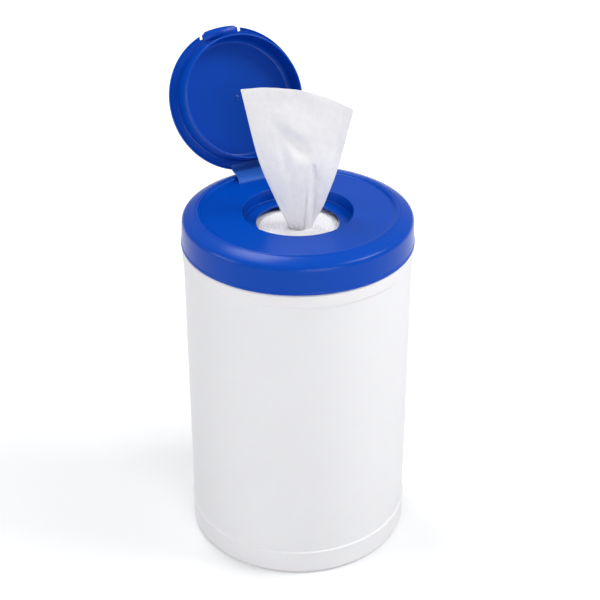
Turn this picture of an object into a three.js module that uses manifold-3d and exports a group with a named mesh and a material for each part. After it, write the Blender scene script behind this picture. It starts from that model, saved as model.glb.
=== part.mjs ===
// Wipes canister: a moulded pot, a press-on dispensing lid with a flip cap standing open, the coreless
// roll inside it, and one wipe drawn up through the lid's opening.
// Millimetres, Z up, origin at the middle of the base. The flip cap's hinge is on the +Y side.
import * as THREE from "three";
import { mergeVertices } from "three/addons/utils/BufferGeometryUtils.js";
import Module from "manifold-3d";

// Facets of the round work
const ROUND_STEPS = 56;
const ROLL_STEPS = 48;
const FILLET_STEPS = 3;

// Clearances
const REST_GAP = 0.3; // between pieces that rest on one another
const SKIRT_GAP = 0.4; // the dark line between the pot's shoulder and the lid's skirt
const SNAP_GAP = 0.3; // between the neck's bead and the skirt's ridge as they pass
const SEAL_GAP = 0.4; // between the neck's bore and the lid's seal ring
const ROLL_GAP = 1.2; // round the roll as it goes in through the neck
const TAIL_GAP = 0.4; // round the wipe's tail in the roll's hollow

// Pot
const PANEL_RADIUS = 57;
const PANEL_TOP = 159.4;
const HEEL_STEP = 0.4; // how far the heel stands out of the label panel
const HEEL_RADIUS = PANEL_RADIUS + HEEL_STEP;
const HEEL_ROUND = 2.5;
const HEEL_TOP = 14;
const HEEL_BEAD = 0.3;
const SHOULDER_STEP = 0.7;
const SHOULDER_RADIUS = PANEL_RADIUS + SHOULDER_STEP;
const SHOULDER_HEIGHT = 7.1;
const SHOULDER_TOP = PANEL_TOP + SHOULDER_HEIGHT;
const SHOULDER_ROUND = 1.2;
const NECK_STEP = 1.4;
const NECK_RADIUS = PANEL_RADIUS - NECK_STEP;
const NECK_HEIGHT = 13.5;
const NECK_TOP = SHOULDER_TOP + NECK_HEIGHT;
const NECK_BEAD = 0.4;
const NECK_BEAD_RISE = 6;
const POT_WALL = 1.2;
const FLOOR_THICKNESS = 1.5;
const FLOOR_ROUND = 3;
const GROOVE = 0.3; // depth of the lines over and under the label panel

// Lid: its skirt passes over the neck's bead, its ceiling lies on the neck, its seal ring stands in the bore
const LID_WALL = 1.3;
const SNAP_RIDGE = 0.4;
const SNAP_RIDGE_RISE = 2.6;
const SKIRT_INNER = NECK_RADIUS + NECK_BEAD + SNAP_GAP + SNAP_RIDGE;
const SKIRT_RADIUS = SKIRT_INNER + LID_WALL;
const SKIRT_BOTTOM = SHOULDER_TOP + SKIRT_GAP;
const SKIRT_LIP = 1.4;
const SKIRT_TAPER = 0.75;
const SKIRT_TOP_RADIUS = SKIRT_RADIUS - SKIRT_TAPER;
const SKIRT_TOP = NECK_TOP - REST_GAP;
const CEILING_Z = NECK_TOP + REST_GAP;
const RIM_ROUND = 1.8;
const RIM_TURN = 68; // degrees from the skirt to the rim's slope
const RIM_WIDTH = 7.15;
const RIM_RADIUS = SKIRT_TOP_RADIUS - RIM_WIDTH;
const RIM_HEIGHT = 1.2; // of the rim over the recessed deck
const DECK_RISE = 0.9; // of the deck's underside over the neck
const DECK_Z = CEILING_Z + DECK_RISE + LID_WALL;
const RIM_Z = DECK_Z + RIM_HEIGHT;
const RIM_FOOT = 3.4;
const DECK_RADIUS = RIM_RADIUS - RIM_FOOT;
const LEDGE_DEPTH = 6;
const LEDGE_Z = DECK_Z - LEDGE_DEPTH;
const EDGE_ROUND = 0.5;
const SEAL_RADIUS = NECK_RADIUS - POT_WALL - SEAL_GAP;
const SEAL_WALL = 1.1;
const SEAL_DEPTH = 4.8;
const SEAL_BOTTOM = NECK_TOP - SEAL_DEPTH;

// Flip cap, modelled shut and then turned open: its hinge stands inside the rim, its ring round the well
const OPEN_ANGLE = THREE.MathUtils.degToRad(116);
const HINGE_INSET = 8.3;
const HINGE_Y = RIM_RADIUS - HINGE_INSET;
const HINGE_RISE = 0.9;
const HINGE_Z = DECK_Z + HINGE_RISE;
const BRIM_GAP = 4.8; // from the brim to the hinge
const BRIM_RADIUS = HINGE_Y - BRIM_GAP;
const BRIM_WIDTH = 5.1;
const BRIM_LIP = 0.6;
const CAP_THICKNESS = 1.2;
const RING_RADIUS = BRIM_RADIUS - BRIM_WIDTH;
const RING_HEIGHT = 12.2;
const RING_END = DECK_Z + REST_GAP;
const BRIM_Z = RING_END + RING_HEIGHT;
const RING_WALL = 1;
const RING_DRAFT = 0.3;
const RING_FILLET = 2.6;
const GATE_RADIUS = 1.5;
const GATE_HEIGHT = 0.3;
const TAB_HALF_WIDTH = 9.8;
const TAB_STAND = 0.4; // how far the thumb tab stands out of the brim
const TAB_REACH = BRIM_RADIUS + TAB_STAND;
const TAB_BOW = 1;
const TAB_CORNER = 1.6;
const SLOT_WIDTH = 1.5;
const SLOT_DEPTH = 3.6;
const SLOT_INNER = BRIM_RADIUS - SLOT_DEPTH;
const STRAP_THICKNESS = 0.9;
const STRAP_HALF_AT_HINGE = 13.2;
const STRAP_HALF_AT_BRIM = 11;
const STRAP_BOW_IN = 6.8;
const STRAP_BOW_UP = 4.3;
const STRAP_OVERLAP = 0.8;
const STRAP_STEPS = 8;

// Well and opening in the lid, inside the cap's ring
const WELL_LAND = 3.5;
const WELL_RADIUS = RING_RADIUS - RING_WALL - WELL_LAND;
const LEDGE_WIDTH = 6.7;
const OPENING_RADIUS = WELL_RADIUS - LEDGE_WIDTH;

// Roll of wipes
const ROLL_RADIUS = NECK_RADIUS - POT_WALL - ROLL_GAP;
const ROLL_BOTTOM = FLOOR_THICKNESS + REST_GAP;
const HEADSPACE = 8.2;
const ROLL_TOP = LEDGE_Z - LID_WALL - HEADSPACE;
const HOLLOW_RADIUS = 9;
const ROLL_TURNS = 9;
const TURN_DEPTH = 0.5;
const TURN_SLOPE = 0.3; // share of a turn's width that slopes down to its flat edge

// Drawn wipe, in the upright plane it faces; heights are from the lid's deck
const WIPE_AZIMUTH = THREE.MathUtils.degToRad(26.6);
const WIPE_THICKNESS = 0.5;
const WIPE_STEPS = 36;
const WIPE_LEFT_EDGE = [
  [-3.6, -12.5],
  [-5.2, -6.5],
  [-8.8, 1.5],
  [-12.6, 10.5],
  [-17, 22],
  [-20.2, 33.5],
  [-24, 51.5],
  [-26.6, 63.5],
];
const WIPE_RIGHT_EDGE = [
  [5.6, -12.5],
  [7.7, -6.5],
  [11.9, 1.5],
  [14.8, 9.5],
  [18.2, 19.5],
  [20.9, 29.5],
  [24.2, 43.5],
  [26.4, 52.9],
];
const WIPE_TOP_BOW = 5.2;
const WIPE_ROWS = 12;
const WIPE_THROAT_Z = DECK_Z + WIPE_LEFT_EDGE[0][1];
const WIPE_THROAT_DEPTH = 3.4;
const WIPE_TAIL_LENGTH = 19; // down the roll's hollow
const WIPE_TAIL_BOTTOM = ROLL_TOP - WIPE_TAIL_LENGTH;
const WIPE_TAIL_RADIUS = HOLLOW_RADIUS - TAIL_GAP;
const WIPE_NIP_RADIUS = 6.6; // half way from the tail into the throat
const WIPE_NIP_SHIFT = 0.5;
const WIPE_BELLY_DEPTH = 5.2;
const WIPE_TOP_DEPTH = 2;
const WIPE_PLEAT = 1.6;
const WIPE_PLEAT_TURNS = 5;
const WIPE_VALLEY = 2.4;
const WIPE_VALLEY_SPREAD = 0.45;

const wasm = await Module();
wasm.setup();

// Points of an arc in a profile: centre, radius and the angles it runs between, in degrees.
function arc(cr, cz, radius, from, to, steps = FILLET_STEPS) {
  const points = [];
  for (let i = 0; i <= steps; i++) {
    const a = THREE.MathUtils.degToRad(from + ((to - from) * i) / steps);
    points.push([cr + radius * Math.cos(a), cz + radius * Math.sin(a)]);
  }
  return points;
}

// Merges a geometry's vertices by place alone.
function welded(geometry) {
  geometry.deleteAttribute("normal");
  geometry.deleteAttribute("uv");
  return mergeVertices(geometry, 1e-4);
}

// Turns a profile of [radius, height] points about Z. It starts and ends on the axis or closes on itself.
function turned(profile, steps = ROUND_STEPS) {
  const points = profile.map(([r, z]) => new THREE.Vector2(r, z));
  const geometry = new THREE.LatheGeometry(points, steps);
  geometry.rotateX(Math.PI / 2);
  return welded(geometry);
}

function ring(profile, steps = ROUND_STEPS) {
  return turned([...profile, profile[0]], steps);
}

function solid(geometry) {
  return new wasm.Manifold(
    new wasm.Mesh({
      numProp: 3,
      vertProperties: geometry.attributes.position.array,
      triVerts: new Uint32Array(geometry.index.array),
    }),
  );
}

function geometryOf(manifold) {
  const mesh = manifold.getMesh();
  const geometry = new THREE.BufferGeometry();
  geometry.setAttribute("position", new THREE.BufferAttribute(mesh.vertProperties, 3));
  geometry.setIndex(new THREE.BufferAttribute(mesh.triVerts, 1));
  return geometry;
}

// Closed skin over rows of points that each run round the piece; the first and last rows are capped.
function skin(rows) {
  const around = rows[0].length;
  const positions = rows.flat(2);
  const index = [];
  for (let r = 0; r + 1 < rows.length; r++) {
    for (let i = 0; i < around; i++) {
      const a = r * around + i;
      const b = r * around + ((i + 1) % around);
      index.push(a, b, b + around, a, b + around, a + around);
    }
  }
  const last = (rows.length - 1) * around;
  for (let i = 1; i + 1 < around; i++) {
    index.push(0, i + 1, i);
    index.push(last, last + i, last + i + 1);
  }
  return indexed(positions, index);
}

// Tube wall between an outer and an inner set of rows that match point for point.
function tubeWall(outer, inner) {
  const around = outer[0].length;
  const rows = [...outer, ...inner.toReversed()];
  const index = [];
  for (let r = 0; r < rows.length; r++) {
    for (let i = 0; i < around; i++) {
      const next = (r + 1) % rows.length;
      const a = r * around + i;
      const b = r * around + ((i + 1) % around);
      const c = next * around + ((i + 1) % around);
      const d = next * around + i;
      index.push(a, b, c, a, c, d);
    }
  }
  return indexed(rows.flat(2), index);
}

function indexed(positions, index) {
  const geometry = new THREE.BufferGeometry();
  geometry.setAttribute("position", new THREE.Float32BufferAttribute(positions, 3));
  geometry.setIndex(index);
  return geometry;
}

function potProfile() {
  const inner = NECK_RADIUS - POT_WALL;
  const cavity = PANEL_RADIUS - POT_WALL;
  const beadZ = SHOULDER_TOP + NECK_BEAD_RISE;
  return [
    [0, 0],
    ...arc(HEEL_RADIUS - HEEL_ROUND, HEEL_ROUND, HEEL_ROUND, -90, 0),
    [HEEL_RADIUS, HEEL_TOP - 2 * HEEL_BEAD],
    [HEEL_RADIUS + HEEL_BEAD, HEEL_TOP - HEEL_BEAD],
    [HEEL_RADIUS, HEEL_TOP],
    [PANEL_RADIUS - GROOVE, HEEL_TOP + GROOVE],
    [PANEL_RADIUS, HEEL_TOP + 3 * GROOVE],
    [PANEL_RADIUS, PANEL_TOP - 2 * GROOVE],
    [PANEL_RADIUS - GROOVE, PANEL_TOP],
    [SHOULDER_RADIUS - GROOVE, PANEL_TOP + GROOVE],
    [SHOULDER_RADIUS, PANEL_TOP + 3 * GROOVE],
    ...arc(SHOULDER_RADIUS - SHOULDER_ROUND, SHOULDER_TOP - SHOULDER_ROUND, SHOULDER_ROUND, 0, 90),
    [NECK_RADIUS, SHOULDER_TOP],
    [NECK_RADIUS, beadZ - 2 * NECK_BEAD],
    [NECK_RADIUS + NECK_BEAD, beadZ],
    [NECK_RADIUS, beadZ + 2 * NECK_BEAD],
    [NECK_RADIUS, NECK_TOP],
    [inner, NECK_TOP],
    [inner, SHOULDER_TOP - SHOULDER_ROUND],
    [cavity, PANEL_TOP - POT_WALL],
    ...arc(cavity - FLOOR_ROUND, FLOOR_THICKNESS + FLOOR_ROUND, FLOOR_ROUND, 0, -90),
    [0, FLOOR_THICKNESS],
  ];
}

function lidProfile() {
  const ridgeZ = SKIRT_BOTTOM + SNAP_RIDGE_RISE;
  const under = DECK_Z - LID_WALL;
  const ledgeUnder = LEDGE_Z - LID_WALL;
  const wellOutside = WELL_RADIUS + LID_WALL;
  const rimCentre = SKIRT_TOP_RADIUS - RIM_ROUND;
  return [
    [SKIRT_INNER, SKIRT_BOTTOM],
    [SKIRT_RADIUS - EDGE_ROUND / 2, SKIRT_BOTTOM],
    [SKIRT_RADIUS, SKIRT_BOTTOM + EDGE_ROUND],
    [SKIRT_RADIUS, SKIRT_BOTTOM + SKIRT_LIP],
    [SKIRT_RADIUS - EDGE_ROUND / 2, SKIRT_BOTTOM + SKIRT_LIP + EDGE_ROUND],
    ...arc(rimCentre, SKIRT_TOP, RIM_ROUND, 0, RIM_TURN),
    [RIM_RADIUS, RIM_Z],
    [RIM_RADIUS - EDGE_ROUND, RIM_Z],
    [RIM_RADIUS - 2 * EDGE_ROUND, RIM_Z - EDGE_ROUND],
    [DECK_RADIUS + 3 * EDGE_ROUND, DECK_Z + EDGE_ROUND / 4],
    [DECK_RADIUS, DECK_Z],
    ...arc(WELL_RADIUS + EDGE_ROUND, DECK_Z - EDGE_ROUND, EDGE_ROUND, 90, 180, 2),
    [WELL_RADIUS, LEDGE_Z + EDGE_ROUND],
    [WELL_RADIUS - EDGE_ROUND, LEDGE_Z],
    ...arc(OPENING_RADIUS + EDGE_ROUND, LEDGE_Z - EDGE_ROUND, EDGE_ROUND, 90, 180, 2),
    [OPENING_RADIUS, ledgeUnder],
    [wellOutside, ledgeUnder],
    [wellOutside, under],
    [DECK_RADIUS, under],
    [RIM_RADIUS, RIM_Z - LID_WALL],
    [SEAL_RADIUS - SEAL_WALL, CEILING_Z + EDGE_ROUND],
    [SEAL_RADIUS - SEAL_WALL, SEAL_BOTTOM],
    [SEAL_RADIUS - EDGE_ROUND, SEAL_BOTTOM],
    [SEAL_RADIUS, SEAL_BOTTOM + EDGE_ROUND],
    [SEAL_RADIUS, CEILING_Z],
    [SKIRT_INNER - EDGE_ROUND, CEILING_Z],
    [SKIRT_INNER - SNAP_GAP, CEILING_Z - 2 * EDGE_ROUND],
    [SKIRT_INNER - SNAP_GAP, ridgeZ + 2 * EDGE_ROUND],
    [SKIRT_INNER - SNAP_RIDGE, ridgeZ],
    [SKIRT_INNER, ridgeZ - 2 * EDGE_ROUND],
  ];
}

function capProfile() {
  const floor = BRIM_Z;
  const innerRing = RING_RADIUS - RING_WALL;
  const top = BRIM_Z + CAP_THICKNESS;
  return [
    [0, floor - GATE_HEIGHT],
    [GATE_RADIUS, floor - GATE_HEIGHT],
    [GATE_RADIUS, floor],
    ...arc(innerRing - RING_FILLET, floor - RING_FILLET, RING_FILLET, 90, 0, 4),
    [innerRing, RING_END + EDGE_ROUND],
    [innerRing + RING_WALL / 3, RING_END],
    [RING_RADIUS - RING_WALL / 3, RING_END],
    [RING_RADIUS, RING_END + EDGE_ROUND],
    [RING_RADIUS + RING_DRAFT, floor - EDGE_ROUND],
    [RING_RADIUS + RING_DRAFT + EDGE_ROUND, floor],
    [BRIM_RADIUS - 2 * BRIM_LIP, floor],
    [BRIM_RADIUS - BRIM_LIP, floor - BRIM_LIP],
    [BRIM_RADIUS, floor - BRIM_LIP / 2],
    [BRIM_RADIUS, top - EDGE_ROUND],
    [BRIM_RADIUS - EDGE_ROUND, top],
    [0, top],
  ];
}

// Upright prism from an outline in the XY plane.
function prism(outline, bottom, top) {
  const shape = new THREE.Shape(outline.map(([x, y]) => new THREE.Vector2(x, y)));
  const geometry = new THREE.ExtrudeGeometry(shape, { depth: top - bottom, bevelEnabled: false });
  geometry.translate(0, 0, bottom);
  return welded(geometry);
}

function tabOutline() {
  const corner = TAB_REACH - TAB_BOW;
  const left = arc(-TAB_HALF_WIDTH + TAB_CORNER, -corner + TAB_CORNER, TAB_CORNER, 180, 270);
  const right = arc(TAB_HALF_WIDTH - TAB_CORNER, -corner + TAB_CORNER, TAB_CORNER, 270, 360);
  return [
    [-TAB_HALF_WIDTH, -SLOT_INNER],
    ...left,
    [0, -TAB_REACH],
    ...right,
    [TAB_HALF_WIDTH, -SLOT_INNER],
  ];
}

function slot(side) {
  const near = side * TAB_HALF_WIDTH;
  const far = side * (TAB_HALF_WIDTH + SLOT_WIDTH);
  const low = Math.min(near, far);
  const high = Math.max(near, far);
  const outline = [
    [low, -BRIM_RADIUS - SLOT_WIDTH],
    [high, -BRIM_RADIUS - SLOT_WIDTH],
    [high, -SLOT_INNER],
    [low, -SLOT_INNER],
  ];
  return solid(prism(outline, BRIM_Z - 2 * CAP_THICKNESS, BRIM_Z + 2 * CAP_THICKNESS));
}

// Hinge strap as it stands with the cap shut: it bows from the deck up to the brim's edge.
function strap() {
  const curve = new THREE.QuadraticBezierCurve(
    new THREE.Vector2(HINGE_Y, HINGE_Z),
    new THREE.Vector2(HINGE_Y - STRAP_BOW_IN, HINGE_Z + STRAP_BOW_UP),
    new THREE.Vector2(BRIM_RADIUS - STRAP_OVERLAP, BRIM_Z + CAP_THICKNESS / 2),
  );
  const rows = [];
  for (let i = 0; i <= STRAP_STEPS; i++) {
    const t = i / STRAP_STEPS;
    const p = curve.getPoint(t);
    const d = curve.getTangent(t).multiplyScalar(STRAP_THICKNESS / 2);
    const half = THREE.MathUtils.lerp(STRAP_HALF_AT_HINGE, STRAP_HALF_AT_BRIM, t);
    rows.push([
      [half, p.x - d.y, p.y + d.x],
      [half, p.x + d.y, p.y - d.x],
      [-half, p.x + d.y, p.y - d.x],
      [-half, p.x - d.y, p.y + d.x],
    ]);
  }
  return skin(rows);
}

function capGeometry() {
  const tab = solid(prism(tabOutline(), BRIM_Z - BRIM_LIP, BRIM_Z + CAP_THICKNESS - EDGE_ROUND));
  const cap = solid(turned(capProfile()))
    .subtract(slot(-1))
    .subtract(slot(1))
    .add(tab)
    .add(solid(strap()));
  return geometryOf(cap);
}

// One solid roll; its upper face is stepped in rings like the edges of the wound turns.
function rollProfile() {
  const pitch = (ROLL_RADIUS - HOLLOW_RADIUS) / ROLL_TURNS;
  const profile = [
    [HOLLOW_RADIUS, ROLL_BOTTOM],
    [ROLL_RADIUS - EDGE_ROUND, ROLL_BOTTOM],
    [ROLL_RADIUS, ROLL_BOTTOM + EDGE_ROUND],
    [ROLL_RADIUS, ROLL_TOP - TURN_DEPTH],
  ];
  for (let turn = ROLL_TURNS; turn > 0; turn--) {
    const outer = HOLLOW_RADIUS + turn * pitch;
    profile.push([outer - TURN_SLOPE * pitch, ROLL_TOP]);
    profile.push([outer - pitch, ROLL_TOP - TURN_DEPTH]);
  }
  return profile;
}

// How far a point of the drawn wipe stands out of its plane, by its place across and up the fan.
function wipeFold(across, up) {
  const pleat = WIPE_PLEAT * Math.sin(WIPE_PLEAT_TURNS * across) * (1 - up) * Math.min(1, 4 * up);
  const valley = WIPE_VALLEY * Math.exp(-((across / WIPE_VALLEY_SPREAD) ** 2)) * Math.sin(Math.PI * up);
  return pleat + valley;
}

function wipeDepth(up) {
  const belly = Math.sin(Math.PI * up);
  const plain = THREE.MathUtils.lerp(WIPE_THROAT_DEPTH, WIPE_TOP_DEPTH, up);
  return plain + (WIPE_BELLY_DEPTH - WIPE_THROAT_DEPTH) * belly;
}

// One row of the fan: across its plane from edge to edge, with its depth and folds.
function fanRow(left, right, up, inset) {
  const a = left.getPoint(up);
  const b = right.getPoint(up);
  const half = a.distanceTo(b) / 2 - inset;
  const dir = b.clone().sub(a).normalize();
  const mid = a.clone().add(b).multiplyScalar(0.5);
  const depth = wipeDepth(up) - inset;
  const row = [];
  for (let i = 0; i < WIPE_STEPS; i++) {
    const angle = (2 * Math.PI * i) / WIPE_STEPS;
    const across = Math.cos(angle);
    const bow = WIPE_TOP_BOW * up * (1 - across * across);
    const x = mid.x + dir.x * half * across;
    const z = mid.y + dir.y * half * across + bow;
    row.push([x, depth * Math.sin(angle) + wipeFold(across, up), z]);
  }
  return row;
}

function tailRow(z, radius, shift, inset) {
  const row = [];
  for (let i = 0; i < WIPE_STEPS; i++) {
    const angle = (2 * Math.PI * i) / WIPE_STEPS;
    const r = radius - inset;
    row.push([shift + r * Math.cos(angle), r * Math.sin(angle), z]);
  }
  return row;
}

function wipeRows(inset) {
  const left = new THREE.SplineCurve(WIPE_LEFT_EDGE.map(([x, z]) => new THREE.Vector2(x, DECK_Z + z)));
  const right = new THREE.SplineCurve(WIPE_RIGHT_EDGE.map(([x, z]) => new THREE.Vector2(x, DECK_Z + z)));
  const middle = (WIPE_TAIL_BOTTOM + WIPE_THROAT_Z) / 2;
  const rows = [
    tailRow(WIPE_TAIL_BOTTOM, WIPE_TAIL_RADIUS, 0, inset),
    tailRow(middle, WIPE_TAIL_RADIUS, 0, inset),
    tailRow((middle + WIPE_THROAT_Z) / 2, WIPE_NIP_RADIUS, WIPE_NIP_SHIFT, inset),
  ];
  for (let i = 0; i <= WIPE_ROWS; i++) {
    rows.push(fanRow(left, right, i / WIPE_ROWS, inset));
  }
  return rows;
}

function wipeGeometry() {
  const geometry = tubeWall(wipeRows(0), wipeRows(WIPE_THICKNESS));
  geometry.rotateZ(-WIPE_AZIMUTH);
  return geometry;
}

function piece(name, geometry, color, roughness) {
  const material = new THREE.MeshStandardMaterial({ color, roughness, metalness: 0 });
  const mesh = new THREE.Mesh(geometry, material);
  mesh.name = name;
  return mesh;
}

function flipCap() {
  const pivot = new THREE.Group();
  pivot.position.set(0, HINGE_Y, HINGE_Z);
  pivot.rotation.x = -OPEN_ANGLE;
  const cap = piece("flip_cap", capGeometry(), 0x0147b2, 0.32);
  cap.position.set(0, -HINGE_Y, -HINGE_Z);
  pivot.add(cap);
  return pivot;
}

const canister = new THREE.Group();
canister.add(piece("canister_body", turned(potProfile()), 0xe9e8ea, 0.5));
canister.add(piece("lid", ring(lidProfile()), 0x0147b2, 0.32));
canister.add(flipCap());
canister.add(piece("wipes_roll", ring(rollProfile(), ROLL_STEPS), 0xe4e3e6, 0.9));
canister.add(piece("drawn_wipe", wipeGeometry(), 0xf1f0f1, 0.9));

export default canister;
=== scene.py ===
"""A pot of cleaning wipes: white pot, blue press-on lid, open flip cap, wound roll and drawn wipe.

Sizes are in millimetres in the classes and become metres where a mesh is made.
"""

from __future__ import annotations

import logging
import math
from collections.abc import Callable
from dataclasses import dataclass
from enum import Enum
from functools import partial
from typing import ClassVar

import bpy
from mathutils import Matrix, Vector, noise

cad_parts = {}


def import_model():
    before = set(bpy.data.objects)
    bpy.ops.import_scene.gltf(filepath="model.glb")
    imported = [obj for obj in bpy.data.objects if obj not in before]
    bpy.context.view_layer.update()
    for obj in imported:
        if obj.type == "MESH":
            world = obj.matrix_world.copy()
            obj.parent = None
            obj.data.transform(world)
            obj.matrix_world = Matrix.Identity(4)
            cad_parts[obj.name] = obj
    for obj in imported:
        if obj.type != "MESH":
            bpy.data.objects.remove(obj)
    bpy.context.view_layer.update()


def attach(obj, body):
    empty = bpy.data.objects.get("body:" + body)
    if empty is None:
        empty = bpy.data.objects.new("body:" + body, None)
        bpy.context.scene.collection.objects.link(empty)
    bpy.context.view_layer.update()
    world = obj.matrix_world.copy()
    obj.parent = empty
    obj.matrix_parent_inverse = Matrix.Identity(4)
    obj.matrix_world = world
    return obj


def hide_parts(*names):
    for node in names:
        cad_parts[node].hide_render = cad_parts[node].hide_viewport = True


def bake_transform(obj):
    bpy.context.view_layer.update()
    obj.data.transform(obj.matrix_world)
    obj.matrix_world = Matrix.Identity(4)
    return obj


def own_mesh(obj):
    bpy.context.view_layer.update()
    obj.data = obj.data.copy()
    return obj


LOG = logging.getLogger("wipes_canister")
MM = 0.001
Point = tuple[float, float]
Point3 = tuple[float, float, float]
Piece = bpy.types.Object
Material = bpy.types.Material
AddNode = Callable[..., bpy.types.Node]


class Body(Enum):
    """The rigid bodies that pieces ride on."""

    CANISTER = "canister"
    LID = "lid"
    CAP = "cap"


class Slot(Enum):
    """The record's material slots."""

    POT = "white_polyethylene"
    LID = "blue_polypropylene"
    WIPES = "nonwoven"


# Colour and shader helpers


def linear(hex_colour: str) -> tuple[float, float, float, float]:
    """Turns an sRGB hex colour to linear light.

    Args:
        hex_colour: Six hex digits after a hash.

    Returns:
        Red, green, blue and an alpha of 1.
    """
    parts = [int(hex_colour[i : i + 2], 16) / 255 for i in (1, 3, 5)]
    values = [c / 12.92 if c <= 0.04045 else ((c + 0.055) / 1.055) ** 2.4 for c in parts]
    return values[0], values[1], values[2], 1.0


def add_node(
    tree: bpy.types.NodeTree,
    kind: str,
    settings: dict[str, object] | None = None,
    inputs: dict[str | int, object] | None = None,
) -> bpy.types.Node:
    """Adds a shader node, sets it up and links what feeds it.

    Args:
        tree: The node tree it goes in.
        kind: The node's type name.
        settings: Attributes of the node itself.
        inputs: Socket name or number to a value, or to the output socket that feeds it.

    Returns:
        The new node.
    """
    node = tree.nodes.new(kind)
    for name, value in (settings or {}).items():
        setattr(node, name, value)
    for name, value in (inputs or {}).items():
        if isinstance(value, bpy.types.NodeSocket):
            tree.links.new(value, node.inputs[name])
        else:
            node.inputs[name].default_value = value
    return node


def new_material(name: str) -> tuple[Material, AddNode]:
    """Makes an empty node material.

    Args:
        name: The material's name.

    Returns:
        The material, and add_node for its cleared tree.
    """
    material = bpy.data.materials.new(name)
    material.use_nodes = True
    material.node_tree.nodes.clear()
    return material, partial(add_node, material.node_tree)


# Finishes


@dataclass(frozen=True)
class BluePolypropylene:
    """Polypropylene, injection moulded in a polished steel tool: smooth, with a soft wide gloss."""

    name: str = "polypropylene_injection_moulded_blue"
    colour: str = "#0048B6"
    deep_colour: str = "#0044AD"
    roughness: float = 0.23
    ior: float = 1.49
    specular: float = 0.17
    gloss_less: float = 0.04
    gloss_more: float = 0.05
    flow_mm: float = 45.0
    grain_mm: float = 1.2
    grain_depth_mm: float = 0.012

    def build(self) -> Material:
        """Builds the shader: faint flow shade, uneven gloss and a fine skin.

        Returns:
            The finished material.
        """
        material, add = new_material(self.name)
        place = add("ShaderNodeTexCoord").outputs["Object"]
        flow = add(
            "ShaderNodeTexNoise",
            inputs={"Vector": place, "Scale": 1 / (self.flow_mm * MM), "Detail": 2.0},
        )
        tint = add(
            "ShaderNodeMix",
            {"data_type": "RGBA"},
            {0: flow.outputs["Fac"], 6: linear(self.deep_colour), 7: linear(self.colour)},
        )
        grain = add(
            "ShaderNodeTexNoise",
            inputs={"Vector": place, "Scale": 1 / (self.grain_mm * MM), "Detail": 3.0},
        )
        gloss = add(
            "ShaderNodeMapRange",
            inputs={
                "Value": flow.outputs["Fac"],
                "To Min": self.roughness - self.gloss_less,
                "To Max": self.roughness + self.gloss_more,
            },
        )
        skin = add(
            "ShaderNodeBump",
            inputs={
                "Height": grain.outputs["Fac"],
                "Strength": 0.25,
                "Distance": self.grain_depth_mm * MM,
            },
        )
        shader = add(
            "ShaderNodeBsdfPrincipled",
            inputs={
                "Base Color": tint.outputs[2],
                "Roughness": gloss.outputs["Result"],
                "Normal": skin.outputs["Normal"],
                "IOR": self.ior,
                "Specular IOR Level": self.specular,
            },
        )
        add("ShaderNodeOutputMaterial", inputs={"Surface": shader.outputs["BSDF"]})
        return material


@dataclass(frozen=True)
class WhitePolyethylene:
    """High-density polyethylene, blow moulded: milky white, satin, with a faint blasted grain."""

    name: str = "polyethylene_blow_moulded_white"
    colour: str = "#F2F0F2"
    shade_colour: str = "#EDEBED"
    roughness: float = 0.42
    ior: float = 1.54
    wander_mm: float = 60.0
    grain_mm: float = 0.7
    grain_depth_mm: float = 0.02

    def build(self) -> Material:
        """Builds the shader: a slow change of white, blasted grain and a little depth of light.

        Returns:
            The finished material.
        """
        material, add = new_material(self.name)
        place = add("ShaderNodeTexCoord").outputs["Object"]
        wander = add(
            "ShaderNodeTexNoise",
            inputs={"Vector": place, "Scale": 1 / (self.wander_mm * MM), "Detail": 2.0},
        )
        tint = add(
            "ShaderNodeMix",
            {"data_type": "RGBA"},
            {0: wander.outputs["Fac"], 6: linear(self.shade_colour), 7: linear(self.colour)},
        )
        grain = add(
            "ShaderNodeTexNoise",
            inputs={"Vector": place, "Scale": 1 / (self.grain_mm * MM), "Detail": 2.0},
        )
        skin = add(
            "ShaderNodeBump",
            inputs={
                "Height": grain.outputs["Fac"],
                "Strength": 0.2,
                "Distance": self.grain_depth_mm * MM,
            },
        )
        shader = add(
            "ShaderNodeBsdfPrincipled",
            inputs={
                "Base Color": tint.outputs[2],
                "Roughness": self.roughness,
                "Normal": skin.outputs["Normal"],
                "IOR": self.ior,
                "Subsurface Weight": 0.12,
                "Subsurface Scale": 0.003,
            },
        )
        add("ShaderNodeOutputMaterial", inputs={"Surface": shader.outputs["BSDF"]})
        return material


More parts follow.
